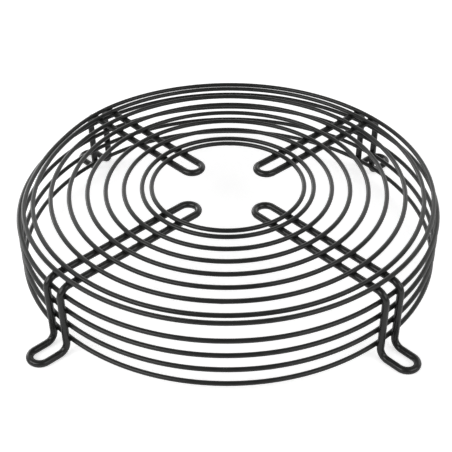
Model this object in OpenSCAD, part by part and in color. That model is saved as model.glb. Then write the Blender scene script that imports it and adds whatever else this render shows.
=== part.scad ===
// Basket guard for an axial fan.
// Round wire rings are resistance-welded across the support wires. Each support
// wire is one closed hairpin: two parallel strands that run out under the face
// rings, turn down outside the side rings and turn out again as a foot loop.
// The fan's axis is Z, and the guard stands on its foot loops at Z = 0.

/* [Wire] */
// Diameter of the ring wire, coating included
ring_wire_d = 2.6; // [2:0.1:3.4]
// Diameter of the support wire, coating included
support_wire_d = 4; // [3:0.1:5]
// Depth to which welding presses a ring onto a support wire
weld_set = 0.25; // [0.1:0.05:0.5]

/* [Face rings] */
// Centreline radius of the innermost face ring
inner_ring_r = 44; // [38:0.5:56]
// Spacing of the close pair of rings at the inner edge
inner_pair_pitch = 5.5; // [4:0.1:8]
// Spacing of the rings across the face
face_pitch = 10.4; // [7:0.1:13]
// Number of even steps across the face, between the two close pairs
face_steps = 6; // [4:1:8]
// Spacing of the close pair of rings at the outer edge
outer_pair_pitch = 5.5; // [4:0.1:8]

/* [Side rings] */
// Number of rings down the side wall
side_count = 4; // [2:1:7]
// Spacing of the side rings
side_pitch = 9.8; // [6:0.1:13]

/* [Support wires] */
// Number of support wires
support_count = 4; // [3:1:6]
// Distance between the two strands of a support wire, centre to centre
strand_pitch = 11.7; // [9:0.1:14]
// Distance from the fan's axis to the bend centre of an inner loop
inner_loop_r = 30.8; // [26:0.1:34]
// Centreline radius of the shoulder bend
shoulder_bend_r = 6; // [4.5:0.1:12]
// Straight length of an upright below the lowest side ring
foot_land = 1; // [0.5:0.1:30]
// Centreline radius of the bend from upright to foot
foot_bend_r = 5.4; // [4:0.1:12]
// Straight length of a foot, from its bend to its end loop
foot_run = 7.8; // [4:0.1:30]

/* [Hidden] */

wire_facets = 32;
bend_facets = 180;
coating = [0.2, 0.2, 0.2];

// A ring and a support wire cross at this distance, centre to centre
seat = (ring_wire_d + support_wire_d) / 2 - weld_set;

// Face, from inner to outer: a close pair, even steps and a close pair again
second_ring_r = inner_ring_r + inner_pair_pitch;
face_r = concat(
    [inner_ring_r],
    [for (i = [0:face_steps]) second_ring_r + i * face_pitch],
    [second_ring_r + face_steps * face_pitch + outer_pair_pitch]
);

// The shoulder bend starts under the outermost face ring and ends behind the
// first side ring
shoulder_r = face_r[len(face_r) - 1];
upright_r = shoulder_r + shoulder_bend_r;

// Heights, from the floor up
upright_l = (side_count - 1) * side_pitch + foot_land;
shoulder_z = support_wire_d / 2 + foot_bend_r + upright_l;
run_z = shoulder_z + shoulder_bend_r;
face_z = run_z + seat;

// Wire bent about the Z axis. Its surface closes along a seam: 0 is the outside of
// the bend, 90 its top and 180 its inside.
module bend(wire_d, bend_r, seam, from = 0, sweep = 360) {
    rotate_extrude(angle = sweep, start = from, $fn = bend_facets)
        translate([bend_r, 0])
            rotate(seam)
                circle(d = wire_d, $fn = wire_facets);
}

// A strand is a chain of stretches. Each runs along +X from the origin and carries
// the next as its child at its far end. The seam runs along the -Y side, where no
// ring touches it.

// Straight stretch
module straight(length) {
    rotate([0, 90, 0])
        rotate(-90)
            cylinder(d = support_wire_d, h = length, $fn = wire_facets);
    translate([length, 0, 0])
        children();
}

// Quarter bend, down for way 1 and up for way -1
module turn(bend_r, way) {
    translate([0, 0, -way * bend_r])
        rotate([90, 0, 0])
            bend(support_wire_d, bend_r, 90, way > 0 ? 0 : -90, 90);
    translate([bend_r, 0, -way * bend_r])
        rotate([0, way * 90, 0])
            children();
}

// Half of an end loop, level, from a strand to the hairpin's centre line
module half_loop(from) {
    translate([0, strand_pitch / 2, 0])
        bend(support_wire_d, strand_pitch / 2, 0, from, 90);
}

// What rings are welded to, on the -Y side of a hairpin: the run under the face, the
// shoulder and the upright. It carries the foot as its child.
module welded_strand() {
    translate([inner_loop_r, -strand_pitch / 2, run_z])
        straight(shoulder_r - inner_loop_r)
            turn(shoulder_bend_r, 1)
                straight(upright_l)
                    children();
}

// Half of a hairpin, from the middle of its inner loop to the middle of its foot loop
module half_hairpin() {
    translate([inner_loop_r, -strand_pitch / 2, run_z])
        half_loop(180);
    welded_strand()
        turn(foot_bend_r, -1)
            straight(foot_run)
                half_loop(-90);
}

// Children in the place of support wire i, counted from 1 at +X, and mirrored about
// its centre line
module both_sides(i) {
    rotate([0, 0, (i - 1) * 360 / support_count])
        for (side = [0, 1])
            mirror([0, side, 0])
                children();
}

// One support wire, a closed hairpin
module support_wire(i) {
    color(coating)
        both_sides(i)
            half_hairpin();
}

// One ring, pressed onto every strand that it crosses. Its seam faces away from
// the strands.
module ring(r, z, seam) {
    color(coating)
        difference() {
            translate([0, 0, z])
                bend(ring_wire_d, r, seam);
            for (i = [1:support_count])
                both_sides(i)
                    welded_strand();
        }
}

for (i = [1:len(face_r)])
    ring(face_r[i - 1], face_z, 90);

for (i = [1:side_count])
    ring(upright_r - seat, shoulder_z - (i - 1) * side_pitch, 180);

for (i = [1:support_count])
    support_wire(i);
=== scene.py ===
"""Looks of a wire fan guard: coated rings welded across four hairpin support wires.

Every wire is a tube swept in numpy along its own centreline. Lengths are in metres,
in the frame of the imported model: the fan's axis is Z and the feet stand on Z = 0.
"""

import logging
import math
from dataclasses import dataclass, field
from enum import Enum

import bpy
import numpy as np
from mathutils import Matrix, Vector


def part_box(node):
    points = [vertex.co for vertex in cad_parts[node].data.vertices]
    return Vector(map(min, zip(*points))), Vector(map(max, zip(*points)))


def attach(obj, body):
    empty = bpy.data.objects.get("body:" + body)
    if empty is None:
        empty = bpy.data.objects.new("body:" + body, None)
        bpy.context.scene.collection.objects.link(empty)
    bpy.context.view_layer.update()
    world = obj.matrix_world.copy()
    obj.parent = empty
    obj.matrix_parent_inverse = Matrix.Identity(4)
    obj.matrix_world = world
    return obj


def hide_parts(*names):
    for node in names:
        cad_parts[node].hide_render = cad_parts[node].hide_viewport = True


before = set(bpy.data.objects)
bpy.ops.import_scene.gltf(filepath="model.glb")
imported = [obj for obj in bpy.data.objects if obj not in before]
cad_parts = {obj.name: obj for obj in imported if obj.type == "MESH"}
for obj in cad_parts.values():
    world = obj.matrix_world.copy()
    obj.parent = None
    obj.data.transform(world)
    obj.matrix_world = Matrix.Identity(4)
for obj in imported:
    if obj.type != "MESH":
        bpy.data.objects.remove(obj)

LOG = logging.getLogger("fan_guard")
MM = 0.001
TAU = 2 * math.pi
TINY = 1e-12


# ---------------------------------------------------------------- meshes


def closed_tube(name: str, rows: np.ndarray) -> bpy.types.Object:
    """Makes a mesh from a grid of points that closes on itself in both directions.

    Quad (i, j) joins points (i, j), (i, j + 1), (i + 1, j + 1) and (i + 1, j), with
    both indices taken round the grid. The order is turned over if the volume by the
    divergence theorem comes out negative, so the faces point outwards.

    Args:
        name: Name of the new object.
        rows: Points, shaped (stations, sides, 3).

    Returns:
        The object, linked to the scene and smooth shaded.
    """
    stations, sides, _ = rows.shape
    i, j = np.meshgrid(np.arange(stations), np.arange(sides), indexing="ij")
    i2, j2 = (i + 1) % stations, (j + 1) % sides
    quads = np.stack([i * sides + j, i * sides + j2, i2 * sides + j2, i2 * sides + j], -1)
    quads = quads.reshape(-1, 4)
    points = rows.reshape(-1, 3)
    a, b, c, d = (points[quads[:, k]] for k in range(4))
    if np.einsum("ij,ij->", a, np.cross(b, c) + np.cross(c, d)) < 0:
        quads = quads[:, ::-1]
    mesh = bpy.data.meshes.new(name)
    mesh.vertices.add(len(points))
    mesh.vertices.foreach_set("co", points.astype(np.float32).ravel())
    mesh.loops.add(quads.size)
    mesh.loops.foreach_set("vertex_index", quads.astype(np.int32).ravel())
    mesh.polygons.add(len(quads))
    mesh.polygons.foreach_set("loop_start", np.arange(0, quads.size, 4, dtype=np.int32))
    mesh.polygons.foreach_set("use_smooth", np.ones(len(quads), dtype=bool))
    mesh.update(calc_edges=True)
    mesh.validate()
    piece = bpy.data.objects.new(name, mesh)
    bpy.context.scene.collection.objects.link(piece)
    return piece


def store(piece: bpy.types.Object, name: str, values: np.ndarray) -> None:
    """Keeps one number a vertex on the piece, for its material to read."""
    layer = piece.data.attributes.new(name, "FLOAT", "POINT")
    layer.data.foreach_set("value", values.astype(np.float32).ravel())


def bump(distance: np.ndarray, width: float) -> np.ndarray:
    """Gives a smooth hump: 1 at distance 0, falling as exp(-(distance / width)^2)."""
    return np.exp(-((distance / width) ** 2))


# ---------------------------------------------------------------- construction


class Family(Enum):
    """The two families of rings, by the side on which a ring meets the supports."""

    FACE = "face_ring"
    SIDE = "side_ring"


@dataclass
class SupportLine:
    """Centreline of a support wire: a flat racetrack folded over a bent profile.

    The profile lies in the plane of the fan's axis: level under the face, down at
    the shoulder, and out again at the foot. The racetrack's two strands run along it
    on either side, and half circles join them at both ends.
    """

    inner_tip: float
    foot_tip: float
    top: float
    half_pitch: float
    upright_r: float
    wire_d: float = 4.0 * MM
    shoulder_bend_r: float = 6.0 * MM
    foot_bend_r: float = 5.4 * MM

    @classmethod
    def from_frame(
        cls, side_ring_r: float, weld_set: float, ring_wire_d: float
    ) -> "SupportLine":
        """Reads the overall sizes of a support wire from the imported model.

        Args:
            side_ring_r: Centreline radius of the side rings.
            weld_set: Depth to which welding presses a ring onto a strand.
            ring_wire_d: Diameter of the ring wire.

        Returns:
            The centreline of the support wire along +X.
        """
        low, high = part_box("support_wire_1")
        return cls(
            inner_tip=low.x,
            foot_tip=high.x,
            top=high.z,
            half_pitch=(high.y - low.y - cls.wire_d) / 2,
            upright_r=side_ring_r + (ring_wire_d + cls.wire_d) / 2 - weld_set,
        )

    @property
    def run_z(self) -> float:
        """Height of the level run under the face rings."""
        return self.top - self.wire_d / 2

    @property
    def inner_loop_r(self) -> float:
        """Distance from the fan's axis to the bend centre of the inner loop."""
        return self.inner_tip + self.wire_d / 2 + self.half_pitch

    @property
    def foot_loop_r(self) -> float:
        """Distance from the fan's axis to the bend centre of the foot loop."""
        return self.foot_tip - self.wire_d / 2 - self.half_pitch

    @property
    def shoulder_r(self) -> float:
        """Distance from the fan's axis to the bend centre of the shoulder."""
        return self.upright_r - self.shoulder_bend_r

    @property
    def shoulder_z(self) -> float:
        """Height of the bend centre of the shoulder."""
        return self.run_z - self.shoulder_bend_r

    def gap_to(self, x: np.ndarray, y: np.ndarray, z: np.ndarray) -> np.ndarray:
        """Measures from points to the surface of the welded stretch of the strands.

        In the plane of the profile the distance to the centreline is |z - run_z| over
        the run, |x - upright_r| beside the upright, and the distance to the bend's
        arc between them. Across it the distance is ||y| - half_pitch|. The gap is the
        length of the two together, less the wire's radius.

        Args:
            x: Distances from the fan's axis along the support.
            y: Distances sideways from the support's centre line.
            z: Heights.

        Returns:
            The gaps, negative inside a strand.
        """
        beyond, above = x > self.shoulder_r, z > self.shoulder_z
        arc = np.hypot(x - self.shoulder_r, z - self.shoulder_z) - self.shoulder_bend_r
        run = z - self.run_z
        upright = x - self.upright_r
        flat = np.where(beyond & above, arc, np.where(above, run, upright))
        return np.hypot(flat, np.abs(y) - self.half_pitch) - self.wire_d / 2


@dataclass(frozen=True)
class Bow:
    """A stretch of a ring that is pressed in towards the fan's axis.

    Its middle and width are angles round the ring, in degrees.
    """

    depth: float = 0.0
    middle: float = 119.9
    width: float = 23.0
    flatness: float = 2.6

    def at(self, angle: np.ndarray) -> np.ndarray:
        """Gives how far the ring is pressed in: depth exp(-|away / width|^flatness)."""
        away = (np.degrees(angle) - self.middle + 180) % 360 - 180
        return self.depth * np.exp(-(np.abs(away / self.width) ** self.flatness))


@dataclass
class RingLine:
    """Centreline of one ring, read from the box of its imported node."""

    family: Family
    number: int
    radius: float
    height: float
    bow: Bow
    wire_d: float = 2.6 * MM

    @classmethod
    def from_frame(cls, family: Family, number: int, bow: Bow) -> "RingLine":
        """Reads a ring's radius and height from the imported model.

        Args:
            family: Whether the ring lies on the face or in the side wall.
            number: Its number, from the middle outwards or from the top down.
            bow: The stretch that is pressed in, of depth 0 on a true ring.

        Returns:
            The ring's centreline.
        """
        low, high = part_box(f"{family.value}_{number}")
        return cls(family, number, high.x - cls.wire_d / 2, (low.z + high.z) / 2, bow)

    @property
    def node(self) -> str:
        """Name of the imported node."""
        return f"{self.family.value}_{self.number}"

    def radius_at(self, angle: np.ndarray) -> np.ndarray:
        """Gives the radius at angles round the ring."""
        return self.radius - self.bow.at(angle)

    def gap_to(self, points: np.ndarray) -> np.ndarray:
        """Measures from points to the ring's surface: the distance to its centreline at
        the same angle, less the wire's radius."""
        angle = np.arctan2(points[..., 1], points[..., 0])
        reach = np.hypot(points[..., 0], points[..., 1]) - self.radius_at(angle)
        return np.hypot(reach, points[..., 2] - self.height) - self.wire_d / 2


# ---------------------------------------------------------------- finishes


def plug(
    tree: bpy.types.NodeTree, value: bpy.types.NodeSocket | float, slot: bpy.types.NodeSocket
) -> None:
    """Feeds an input with a link if the value is a socket, and as a number otherwise."""
    if isinstance(value, bpy.types.NodeSocket):
        tree.links.new(value, slot)
    else:
        slot.default_value = value


COAT_NUMBERS = (
    "Peel Size", "Fine Size", "Fine Share", "Flow Scale", "Roughness",
    "Roughness Spread", "Crevice Roughness", "Dust",
)
COAT_COLOURS = ("Colour", "Dust Colour", "Painted Crevice Shade")


def coating_group() -> bpy.types.ShaderNodeTree:
    """Builds the surface of a cured powder coating, once for all wires.

    Orange peel is two sizes of noise added together. Flow marks are slow noise, and
    they vary the roughness. Dust lies in them where the surface faces up. The crevice
    value of the mesh dulls the corners at the welds and darkens them with painted
    shade, which stands in for the contact shadow beside each crossing.

    Returns:
        The node group.
    """
    tree = bpy.data.node_groups.new("powder_coating", "ShaderNodeTree")
    for way, names, kind in (
        ("INPUT", COAT_NUMBERS, "NodeSocketFloat"),
        ("INPUT", COAT_COLOURS, "NodeSocketColor"),
        ("OUTPUT", ("Colour",), "NodeSocketColor"),
        ("OUTPUT", ("Roughness", "Height"), "NodeSocketFloat"),
    ):
        for name in names:
            tree.interface.new_socket(name, in_out=way, socket_type=kind)
    nodes, join = tree.nodes, tree.links.new
    given = nodes.new("NodeGroupInput")
    out = nodes.new("NodeGroupOutput")
    place = nodes.new("ShaderNodeTexCoord")

    def maths(kind: str, *values: bpy.types.NodeSocket | float) -> bpy.types.NodeSocket:
        """Adds a Math node; each value is a socket or a number."""
        node = nodes.new("ShaderNodeMath")
        node.operation = kind
        for slot, value in zip(node.inputs, values):
            plug(tree, value, slot)
        return node.outputs[0]

    def noise(scale: bpy.types.NodeSocket, detail: float) -> bpy.types.NodeSocket:
        """Adds noise on Object coordinates."""
        node = nodes.new("ShaderNodeTexNoise")
        node.inputs["Detail"].default_value = detail
        join(place.outputs["Object"], node.inputs["Vector"])
        join(scale, node.inputs["Scale"])
        return node.outputs["Fac"]

    def mix(
        share: bpy.types.NodeSocket, low: bpy.types.NodeSocket, high: bpy.types.NodeSocket
    ) -> bpy.types.NodeSocket:
        """Adds a mix of two colours."""
        node = nodes.new("ShaderNodeMix")
        node.data_type = "RGBA"
        join(share, node.inputs["Factor"])
        join(low, node.inputs["A"])
        join(high, node.inputs["B"])
        return node.outputs["Result"]

    # Sizes are in millimetres, and the scale of noise is per metre
    peel = noise(maths("DIVIDE", 1 / MM, given.outputs["Peel Size"]), detail=1.0)
    fine = noise(maths("DIVIDE", 1 / MM, given.outputs["Fine Size"]), detail=2.0)
    height = maths("MULTIPLY_ADD", fine, given.outputs["Fine Share"], peel)
    join(height, out.inputs["Height"])

    flow = noise(given.outputs["Flow Scale"], detail=3.0)
    swing = maths("SUBTRACT", flow, 0.5)
    spread = given.outputs["Roughness Spread"]
    rough = maths("MULTIPLY_ADD", swing, spread, given.outputs["Roughness"])
    crevice = nodes.new("ShaderNodeAttribute")
    crevice.attribute_name = "crevice"
    shade = maths("MULTIPLY", crevice.outputs["Fac"], given.outputs["Crevice Roughness"])
    join(maths("ADD", rough, shade), out.inputs["Roughness"])

    up = nodes.new("ShaderNodeSeparateXYZ")
    geometry = nodes.new("ShaderNodeNewGeometry")
    join(geometry.outputs["Normal"], up.inputs[0])
    lying = maths("MULTIPLY", maths("MAXIMUM", up.outputs["Z"], 0.0), flow)
    dusted = maths("MULTIPLY", lying, given.outputs["Dust"])
    dusty = mix(dusted, given.outputs["Colour"], given.outputs["Dust Colour"])
    # Painted shade: the crevice value mixes the colour towards near-black beside the welds,
    # standing in for the contact shadow there.
    colour = mix(crevice.outputs["Fac"], dusty, given.outputs["Painted Crevice Shade"])
    join(colour, out.inputs["Colour"])
    return tree


@dataclass(frozen=True)
class PowderCoat:
    """Satin powder coating on round wire.

    The sizes of the orange peel are in millimetres, its depth is in metres, and the
    scale of the flow marks is per metre.
    """

    name: str
    colour: tuple[float, float, float]
    dust_colour: tuple[float, float, float] = (0.20, 0.20, 0.19)
    # Painted shade: the near-black colour laid into the corners beside each weld, standing in
    # for the contact shadow at the crossing.
    painted_crevice_shade: tuple[float, float, float] = (0.004, 0.004, 0.004)
    roughness: float = 0.3
    roughness_spread: float = 0.08
    crevice_roughness: float = 0.25
    peel_size: float = 1.1
    fine_size: float = 0.25
    fine_share: float = 0.3
    peel_depth: float = 0.012 * MM
    flow_scale: float = 140.0
    dust: float = 0.12
    ior: float = 1.5

    @staticmethod
    def field_name(socket: str) -> str:
        """Gives the field that feeds an input of the coating group."""
        return socket.lower().replace(" ", "_")

    def material(self, group: bpy.types.ShaderNodeTree) -> bpy.types.Material:
        """Builds the material around the shared coating group.

        Args:
            group: The node group from coating_group.

        Returns:
            The material.
        """
        made = bpy.data.materials.new(self.name)
        made.use_nodes = True
        nodes, join = made.node_tree.nodes, made.node_tree.links.new
        shader = nodes["Principled BSDF"]
        coat = nodes.new("ShaderNodeGroup")
        coat.node_tree = group
        for name in COAT_NUMBERS:
            coat.inputs[name].default_value = getattr(self, self.field_name(name))
        for name in COAT_COLOURS:
            coat.inputs[name].default_value = (*getattr(self, self.field_name(name)), 1)
        join(coat.outputs["Colour"], shader.inputs["Base Color"])
        join(coat.outputs["Roughness"], shader.inputs["Roughness"])
        relief = nodes.new("ShaderNodeBump")
        relief.inputs["Distance"].default_value = self.peel_depth
        join(coat.outputs["Height"], relief.inputs["Height"])
        join(relief.outputs["Normal"], shader.inputs["Normal"])
        shader.inputs["IOR"].default_value = self.ior
        return made


# ---------------------------------------------------------------- wires


@dataclass
class WeldedRing:
    """One ring with the weld fillets that join it to the strands it crosses."""

    line: RingLine
    support: SupportLine
    places: np.ndarray
    butt_angle: float
    sides: int = 36
    coarse_stations: int = 240
    weld_step: float = 0.16 * MM
    weld_reach: float = 3.0 * MM
    fillet: float = 0.8 * MM
    dive: float = 0.12 * MM
    tuck: float = 0.01 * MM
    search_reach: float = 1.4
    search_steps: int = 64
    butt_height: float = 0.12 * MM
    butt_width: float = 0.9 * MM
    crevice_reach: float = 0.5 * MM

    def angles(self) -> np.ndarray:
        """Spaces stations round the ring, close together where it crosses a strand.

        Each crossing has a window that is filled at the weld step. Even stations are
        kept where they lie at least a third of their own step outside the windows.

        Returns:
            Angles round the ring, rising.
        """
        crossing = np.arcsin(self.support.half_pitch / self.line.radius_at(self.places))
        middles = np.concatenate([self.places - crossing, self.places + crossing])
        reach = self.weld_reach / self.line.radius
        count = 2 * round(self.weld_reach / self.weld_step) + 1
        windows = middles[:, None] + np.linspace(-reach, reach, count)
        even = np.arange(self.coarse_stations) * TAU / self.coarse_stations
        away = np.abs((even[:, None] - middles + math.pi) % TAU - math.pi).min(1)
        kept = even[away > reach + TAU / self.coarse_stations / 3]
        return np.unique(np.concatenate([windows.ravel() % TAU, kept]))

    def from_support(self, angle: np.ndarray) -> np.ndarray:
        """Turns angles round the fan's axis into angles from the nearest support."""
        away = (angle[..., None] - self.places + math.pi) % TAU - math.pi
        nearest = np.abs(away).argmin(-1)[..., None]
        return np.take_along_axis(away, nearest, -1)[..., 0]

    def tube_radius(self, angle: np.ndarray, turn: np.ndarray) -> np.ndarray:
        """Works out how far the surface lies from the ring's centreline.

        The surface is where the smooth least of two gaps is nil: the gap to the plain
        ring and the gap to the strands. The smooth least of a and b is min(a, b) less
        h^2 k / 4, with h = max(k - |a - b|, 0) / k and k the fillet. It is searched
        for outwards along each spoke of the section, as far as search_reach times the
        fillet, and it stops a hair inside a strand.

        Args:
            angle: Angles round the ring, shaped (stations, 1).
            turn: Angles round the section, shaped (1, sides).

        Returns:
            Distances, shaped (stations, sides).
        """
        wire_r = self.line.wire_d / 2
        folded = self.from_support(angle)
        steps = np.linspace(wire_r, wire_r + self.search_reach * self.fillet, self.search_steps)
        out = self.line.radius_at(angle)[..., None] + steps * np.cos(turn)[..., None]
        x, y = out * np.cos(folded)[..., None], out * np.sin(folded)[..., None]
        z = self.line.height + steps * np.sin(turn)[..., None] + 0 * x
        strand = self.support.gap_to(x, y, z) + self.tuck
        plain = steps - wire_r
        blend = np.maximum(self.fillet - np.abs(plain - strand), 0) / self.fillet
        union = np.minimum(plain, strand) - blend**2 * self.fillet / 4
        buried = -(strand + self.dive)
        stop = np.maximum(union, buried)
        stop[..., -1] = np.maximum(stop[..., -1], 0)
        first = np.argmax(stop >= 0, axis=-1)
        before = np.maximum(first - 1, 0)
        high = np.take_along_axis(stop, first[..., None], -1)[..., 0]
        low = np.take_along_axis(stop, before[..., None], -1)[..., 0]
        share = np.where(first > 0, -low / np.maximum(high - low, TINY), 0.0)
        return steps[before] + (steps[first] - steps[before]) * np.clip(share, 0, 1)

    def build(self) -> bpy.types.Object:
        """Sweeps the section round the ring and stores the crevice value.

        A point is (r + t cos v) along the radius and t sin v up, where r is the ring's
        radius, v the angle round the section and t the tube radius. The butt weld adds
        a hump to t round one place, dressed flush at the top by (1 - sin v) / 2.

        Returns:
            The new piece.
        """
        angle = self.angles()[:, None]
        turn = np.linspace(0, TAU, self.sides, endpoint=False)[None, :]
        tube = self.tube_radius(angle, turn)
        along = ((angle - self.butt_angle + math.pi) % TAU - math.pi) * self.line.radius
        flush = (1 - np.sin(turn)) / 2
        tube = tube + self.butt_height * bump(along, self.butt_width) * flush
        reach = self.line.radius_at(angle) + tube * np.cos(turn)
        height = self.line.height + tube * np.sin(turn)
        rows = np.stack([reach * np.cos(angle), reach * np.sin(angle), height], -1)
        piece = closed_tube(f"coated_{self.line.node}", rows)
        folded = self.from_support(angle)
        gap = self.support.gap_to(reach * np.cos(folded), reach * np.sin(folded), height)
        # The crevice value near the strands dulls the roughness and darkens the colour with
        # painted shade.
        store(piece, "crevice", bump(np.maximum(gap, 0), self.crevice_reach))
        return piece

    def dress(self, piece: bpy.types.Object, finish: bpy.types.Material) -> None:
        """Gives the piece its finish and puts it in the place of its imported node."""
        piece.data.materials.append(finish)
        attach(piece, "root")
        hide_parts(self.line.node)


@dataclass
class SupportWire:
    """One closed hairpin of heavier wire, bent at the shoulder and the foot."""

    line: SupportLine
    number: int
    place: float
    rings: list[RingLine]
    sides: int = 32
    step: float = 0.6 * MM
    loop_density: float = 1.5
    butt_height: float = 0.12 * MM
    butt_width: float = 1.0 * MM
    crevice_reach: float = 0.6 * MM

    def profile(self, along: np.ndarray) -> tuple[np.ndarray, np.ndarray, np.ndarray]:
        """Follows the bent profile by arc length from the inner loop's bend centre.

        The run is a line out along X, the shoulder a quarter circle down, the upright a
        line down, the foot bend a quarter circle out, and the foot a line out again.

        Args:
            along: Arc lengths; they may be below 0 or past the end, on the end lines.

        Returns:
            Distances from the fan's axis, heights, and the slope angle, which is 0 on
            the level and -90 degrees on the upright.
        """
        line = self.line
        run = line.shoulder_r - line.inner_loop_r
        bend_1 = run + line.shoulder_bend_r * math.pi / 2
        foot_z = line.wire_d / 2
        upright = line.shoulder_z - (foot_z + line.foot_bend_r)
        bend_2 = bend_1 + upright + line.foot_bend_r * math.pi / 2
        turn_1 = np.clip((along - run) / line.shoulder_bend_r, 0, math.pi / 2)
        turn_2 = np.clip((along - bend_1 - upright) / line.foot_bend_r, 0, math.pi / 2)
        down = np.clip(along - bend_1, 0, upright)
        level = np.minimum(along, run) + np.maximum(along - bend_2, 0)
        x = (
            line.inner_loop_r + level
            + line.shoulder_bend_r * np.sin(turn_1)
            + line.foot_bend_r * (1 - np.cos(turn_2))
        )
        z = (
            line.run_z - line.shoulder_bend_r * (1 - np.cos(turn_1))
            - down - line.foot_bend_r * np.sin(turn_2)
        )
        return x, z, turn_2 - turn_1

    def racetrack(self) -> tuple[np.ndarray, np.ndarray, np.ndarray, np.ndarray]:
        """Lays out the hairpin flat: two strands and two half circles.

        Steps are even on the strands, and loop_density times as close on the circles.

        Returns:
            Arc length along the profile, sideways place, and the outward direction in
            the flat, as its share along the profile and its share sideways.
        """
        line = self.line
        length = (
            line.shoulder_r - line.inner_loop_r
            + (line.shoulder_bend_r + line.foot_bend_r) * math.pi / 2
            + line.shoulder_z - line.wire_d / 2 - line.foot_bend_r
            + line.foot_loop_r - line.upright_r - line.foot_bend_r
        )
        half = line.half_pitch
        strand_steps = round(length / self.step)
        strand = np.arange(strand_steps) / strand_steps * length
        arc_steps = round(math.pi * half / self.step * self.loop_density)
        arc = np.arange(arc_steps) / arc_steps * math.pi
        one, nil = np.ones_like(strand), np.zeros_like(strand)
        along = [strand, length + half * np.sin(arc), length - strand, -half * np.sin(arc)]
        across = [-half * one, -half * np.cos(arc), half * one, half * np.cos(arc)]
        out_along = [nil, np.sin(arc), nil, -np.sin(arc)]
        out_across = [-one, -np.cos(arc), one, np.cos(arc)]
        return tuple(np.concatenate(part) for part in (along, across, out_along, out_across))

    def build(self) -> bpy.types.Object:
        """Folds the flat hairpin over the profile and sweeps the wire's section along it.

        The outward direction o and the normal n of the folded sheet span the section,
        so a point is the centreline plus r (o cos v + n sin v). The butt weld adds a
        hump to r in the middle of the run of one strand.

        Returns:
            The new piece.
        """
        along, across, out_along, out_across = self.racetrack()
        x, z, slope = self.profile(along)
        centre = np.stack([x, across, z], -1)
        out = np.stack([out_along * np.cos(slope), out_across, out_along * np.sin(slope)], -1)
        normal = np.stack([-np.sin(slope), 0 * slope, np.cos(slope)], -1)
        turn = np.linspace(0, TAU, self.sides, endpoint=False)[None, :, None]
        wire_r = self.line.wire_d / 2
        middle = (self.line.shoulder_r + self.line.inner_loop_r) / 2
        butt = bump(x - middle, self.butt_width) * (across > 0) * (z > self.line.shoulder_z)
        radius = (wire_r + self.butt_height * butt)[:, None, None]
        spoke = np.cos(turn) * out[:, None] + np.sin(turn) * normal[:, None]
        rows = centre[:, None] + radius * spoke
        rows = rows @ np.array(Matrix.Rotation(self.place, 3, "Z")).T
        gap = np.stack([np.maximum(ring.gap_to(rows), 0) for ring in self.rings]).min(0)
        piece = closed_tube(f"coated_support_wire_{self.number}", rows)
        # The crevice value near the rings dulls the roughness and darkens the colour with
        # painted shade.
        store(piece, "crevice", bump(gap, self.crevice_reach))
        return piece

    def dress(self, piece: bpy.types.Object, finish: bpy.types.Material) -> None:
        """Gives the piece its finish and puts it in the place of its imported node."""
        piece.data.materials.append(finish)
        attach(piece, "root")
        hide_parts(f"support_wire_{self.number}")


# ---------------------------------------------------------------- guard


@dataclass
class FanGuard:
    """The whole guard: its rings and its support wires.

    Each support strays from its even place by a few tenths of a degree or more. The
    butt welds of the rings lie in bays between the supports, in one of three places
    each: butt_middle degrees after a support, or butt_shift to either side of it.
    """

    nodes: list[str]
    weld_set: float = 0.25 * MM
    stray: tuple[float, ...] = (-1.08, 0.52, 0.10, -0.20)
    bows: dict[str, Bow] = field(
        default_factory=lambda: {"face_ring_8": Bow(1.82 * MM), "face_ring_9": Bow(4.08 * MM)}
    )
    butt_places: int = 3
    butt_first_bay: int = 3
    butt_middle: float = 45.0
    butt_shift: float = 11.6
    ring_coat: PowderCoat = PowderCoat("ring_coating", (0.012, 0.0125, 0.0118))
    support_coat: PowderCoat = PowderCoat(
        "support_coating", (0.011, 0.0115, 0.011), roughness=0.26
    )

    def count(self, start: str) -> int:
        """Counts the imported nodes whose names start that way."""
        return sum(name.startswith(start) for name in self.nodes)

    def butt_angle(self, number: int, supports: int) -> float:
        """Places the butt weld of a ring, one bay further on for each number.

        Args:
            number: The ring's number in its family.
            supports: How many supports there are.

        Returns:
            Its angle round the ring.
        """
        bay = (number + self.butt_first_bay) % supports
        shift = number % self.butt_places - 1
        return math.radians(
            360 / supports * bay + self.butt_middle - self.butt_shift * shift
        )

    def build(self) -> None:
        """Builds every wire with its finish and reports each one."""
        lines = [
            RingLine.from_frame(
                family, number, self.bows.get(f"{family.value}_{number}", Bow())
            )
            for family in Family
            for number in range(1, self.count(family.value) + 1)
        ]
        side = next(line for line in lines if line.family is Family.SIDE)
        support = SupportLine.from_frame(side.radius, self.weld_set, side.wire_d)
        supports = self.count("support_wire")
        stray = np.radians(np.resize(self.stray, supports))
        places = np.arange(supports) * TAU / supports + stray
        group = coating_group()
        ring_finish = self.ring_coat.material(group)
        support_finish = self.support_coat.material(group)
        for line in lines:
            ring = WeldedRing(line, support, places, self.butt_angle(line.number, supports))
            piece = ring.build()
            ring.dress(piece, ring_finish)
            faces = len(piece.data.polygons)
            LOG.info("%s: radius %.1f mm, %d faces", piece.name, line.radius / MM, faces)
        for number in range(1, supports + 1):
            wire = SupportWire(support, number, float(places[number - 1]), lines)
            piece = wire.build()
            wire.dress(piece, support_finish)
            LOG.info("%s: %d faces", piece.name, len(piece.data.polygons))


# ---------------------------------------------------------------- studio


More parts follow.
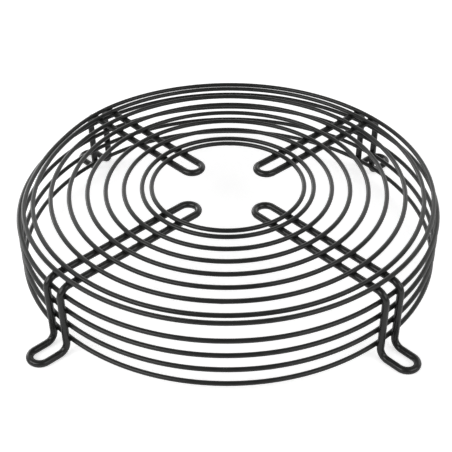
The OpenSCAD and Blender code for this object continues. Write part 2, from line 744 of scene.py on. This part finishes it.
@dataclass(frozen=True)
class SoftLamp:
    """An area lamp aimed at the guard, placed by its bearing from the camera."""

    name: str
    bearing: float
    elevation: float
    distance: float
    width: float
    height: float
    brightness: float

    def place(self, target: Vector, camera_azimuth: float) -> None:
        """Creates the lamp.

        Args:
            target: The point that it faces.
            camera_azimuth: Azimuth of the camera, in degrees.
        """
        lamp = bpy.data.lights.new(self.name, "AREA")
        lamp.shape, lamp.size, lamp.size_y = "RECTANGLE", self.width, self.height
        lamp.energy = self.brightness * math.pi * self.width * self.height
        holder = bpy.data.objects.new(self.name, lamp)
        back = bearing(camera_azimuth + self.bearing, self.elevation)
        holder.rotation_mode = "QUATERNION"
        holder.rotation_quaternion = (-back).to_track_quat("-Z", "Y")
        holder.location = target + back * self.distance
        bpy.context.scene.collection.objects.link(holder)


def bearing(azimuth: float, elevation: float) -> Vector:
    """Gives the direction towards a viewer; azimuth 0 is a viewer at -Y, 90 one at +X."""
    a, e = math.radians(azimuth), math.radians(elevation)
    return Vector((math.sin(a) * math.cos(e), -math.cos(a) * math.cos(e), math.sin(e)))


@dataclass
class Studio:
    """Floor, world, lamps and camera. Angles are in degrees.

    The camera stands at azimuth and elevation from the target, and tilt, pan and roll
    turn it off the target. Each edge of the surround is a range of the direction's
    share upwards, or away from the camera, over which its brightness changes.
    """

    azimuth: float = -42.985
    elevation: float = 34.778
    distance: float = 566.5 * MM
    lens: float = 78.02
    sensor: float = 36.0
    clip: tuple[float, float] = (0.01, 50.0)
    tilt: float = -2.434
    pan: float = 0.125
    roll: float = -0.449
    floor_size: float = 12.0
    floor_tone: tuple[float, float] = (0.84, 0.88)
    floor_grain: float = 30.0
    floor_roughness: float = 0.9
    floor_glow: float = 0.6
    floor_mirror: float = 0.15
    ceiling_edge: tuple[float, float] = (0.45, 0.75)
    ceiling: float = 0.12
    wall_edge: tuple[float, float] = (0.1, 0.6)
    wall: float = 1.3
    camera_side: float = 0.1
    fill: float = 0.4
    lamps: tuple[SoftLamp, ...] = (
        SoftLamp("left_lamp", -58, 34, 1.1, 1.0, 0.6, 2.9),
        SoftLamp("right_lamp", 54, 34, 1.1, 0.9, 0.6, 1.9),
        SoftLamp("rear_left_lamp", -140, 7, 1.2, 0.9, 0.3, 3.2),
    )

    def by_ray(
        self,
        tree: bpy.types.NodeTree,
        seen: float,
        mirrored: bpy.types.NodeSocket | float,
        other: float,
    ) -> bpy.types.NodeSocket:
        """Adds nodes that pick a strength by the kind of ray.

        Args:
            tree: Node tree of the floor's material or of the world.
            seen: Strength for camera rays.
            mirrored: Strength for glossy and transmission rays, a socket or a number.
            other: Strength for all other rays.

        Returns:
            The socket with the strength.
        """
        path = tree.nodes.new("ShaderNodeLightPath")
        either = tree.nodes.new("ShaderNodeMath")
        either.operation = "MAXIMUM"
        tree.links.new(path.outputs["Is Glossy Ray"], either.inputs[0])
        tree.links.new(path.outputs["Is Transmission Ray"], either.inputs[1])
        choices = ((either.outputs[0], mirrored), (path.outputs["Is Camera Ray"], seen))
        strength = other
        for ray, value in choices:
            choice = tree.nodes.new("ShaderNodeMix")
            plug(tree, ray, choice.inputs["Factor"])
            plug(tree, strength, choice.inputs["A"])
            plug(tree, value, choice.inputs["B"])
            strength = choice.outputs["Result"]
        return strength

    def floor(self) -> None:
        """Lays a plain pale floor that looks white and keeps the guard's shadow."""
        half = self.floor_size / 2
        mesh = bpy.data.meshes.new("floor")
        corners = [(-half, -half, 0), (half, -half, 0), (half, half, 0), (-half, half, 0)]
        mesh.from_pydata(corners, [], [(0, 1, 2, 3)])
        piece = bpy.data.objects.new("floor", mesh)
        bpy.context.scene.collection.objects.link(piece)
        made = bpy.data.materials.new("pale_floor")
        made.use_nodes = True
        tree = made.node_tree
        shader = tree.nodes["Principled BSDF"]
        grain = tree.nodes.new("ShaderNodeTexNoise")
        grain.inputs["Scale"].default_value = self.floor_grain
        place = tree.nodes.new("ShaderNodeTexCoord")
        tone = tree.nodes.new("ShaderNodeMapRange")
        tree.links.new(place.outputs["Object"], grain.inputs["Vector"])
        tree.links.new(grain.outputs["Fac"], tone.inputs["Value"])
        for name, value in zip(("To Min", "To Max"), self.floor_tone):
            tone.inputs[name].default_value = value
        tree.links.new(tone.outputs["Result"], shader.inputs["Base Color"])
        shader.inputs["Roughness"].default_value = self.floor_roughness
        shader.inputs["Specular IOR Level"].default_value = 0.0
        shader.inputs["Emission Color"].default_value = (1, 1, 1, 1)
        glow = self.by_ray(tree, self.floor_glow, self.floor_mirror, 0.0)
        tree.links.new(glow, shader.inputs["Emission Strength"])
        mesh.materials.append(made)

    def ramp(
        self,
        tree: bpy.types.NodeTree,
        value: bpy.types.NodeSocket,
        source: tuple[float, float],
        result: tuple[float, float],
    ) -> bpy.types.NodeSocket:
        """Adds a smooth step from one range of values to another.

        Args:
            tree: Node tree of the world.
            value: The value that is stepped.
            source: The range of the value over which the result changes.
            result: The results at both ends of the range.

        Returns:
            The socket with the result.
        """
        node = tree.nodes.new("ShaderNodeMapRange")
        node.interpolation_type = "SMOOTHSTEP"
        for name, number in zip(("From Min", "From Max", "To Min", "To Max"), source + result):
            node.inputs[name].default_value = number
        tree.links.new(value, node.inputs["Value"])
        return node.outputs["Result"]

    def world(self) -> None:
        """Sets a white surround, mirrored as a bright wall behind the guard with a dim
        ceiling, and a soft fill for diffuse rays."""
        world = bpy.data.worlds.new("studio")
        world.use_nodes = True
        bpy.context.scene.world = world
        tree = world.node_tree
        nodes, join = tree.nodes, tree.links.new
        background = nodes["Background"]
        place = nodes.new("ShaderNodeTexCoord")
        up = nodes.new("ShaderNodeSeparateXYZ")
        join(place.outputs["Generated"], up.inputs[0])
        ceiling = self.ramp(tree, up.outputs["Z"], self.ceiling_edge, (1.0, self.ceiling))
        away = nodes.new("ShaderNodeVectorMath")
        away.operation = "DOT_PRODUCT"
        join(place.outputs["Generated"], away.inputs[0])
        away.inputs[1].default_value = -bearing(self.azimuth, 0)
        across = (self.camera_side, self.wall)
        wall = self.ramp(tree, away.outputs["Value"], self.wall_edge, across)
        both = nodes.new("ShaderNodeMath")
        both.operation = "MULTIPLY"
        join(ceiling, both.inputs[0])
        join(wall, both.inputs[1])
        strength = self.by_ray(tree, 1.0, both.outputs[0], self.fill)
        join(strength, background.inputs["Strength"])
        background.inputs["Color"].default_value = (1, 1, 1, 1)

    def camera(self, target: Vector) -> None:
        """Stands the camera back from the target and turns it a little off it.

        Args:
            target: Middle of the guard's face.
        """
        back = bearing(self.azimuth, self.elevation)
        right = bearing(self.azimuth + 90, 0)
        view = Matrix((right, back.cross(right), back)).transposed()
        turned = (
            view
            @ Matrix.Rotation(math.radians(self.tilt), 3, "X")
            @ Matrix.Rotation(math.radians(self.pan), 3, "Y")
            @ Matrix.Rotation(math.radians(self.roll), 3, "Z")
        )
        data = bpy.data.cameras.new("camera")
        data.lens, data.sensor_width = self.lens, self.sensor
        data.clip_start, data.clip_end = self.clip
        piece = bpy.data.objects.new("camera", data)
        piece.matrix_world = Matrix.Translation(target + back * self.distance) @ turned.to_4x4()
        bpy.context.scene.collection.objects.link(piece)
        bpy.context.scene.camera = piece

    def build(self, target: Vector) -> None:
        """Sets the whole studio up round the target."""
        self.floor()
        self.world()
        for lamp in self.lamps:
            lamp.place(target, self.azimuth)
        self.camera(target)
        bpy.context.scene.view_settings.view_transform = "Standard"


def main() -> None:
    """Builds the guard, the floor, the lamps and the camera."""
    logging.basicConfig(level=logging.INFO, format="%(name)s: %(message)s")
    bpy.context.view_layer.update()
    FanGuard(sorted(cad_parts)).build()
    low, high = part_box("face_ring_1")
    Studio().build(Vector((0, 0, (low.z + high.z) / 2)))


if __name__ == "__main__":
    main()
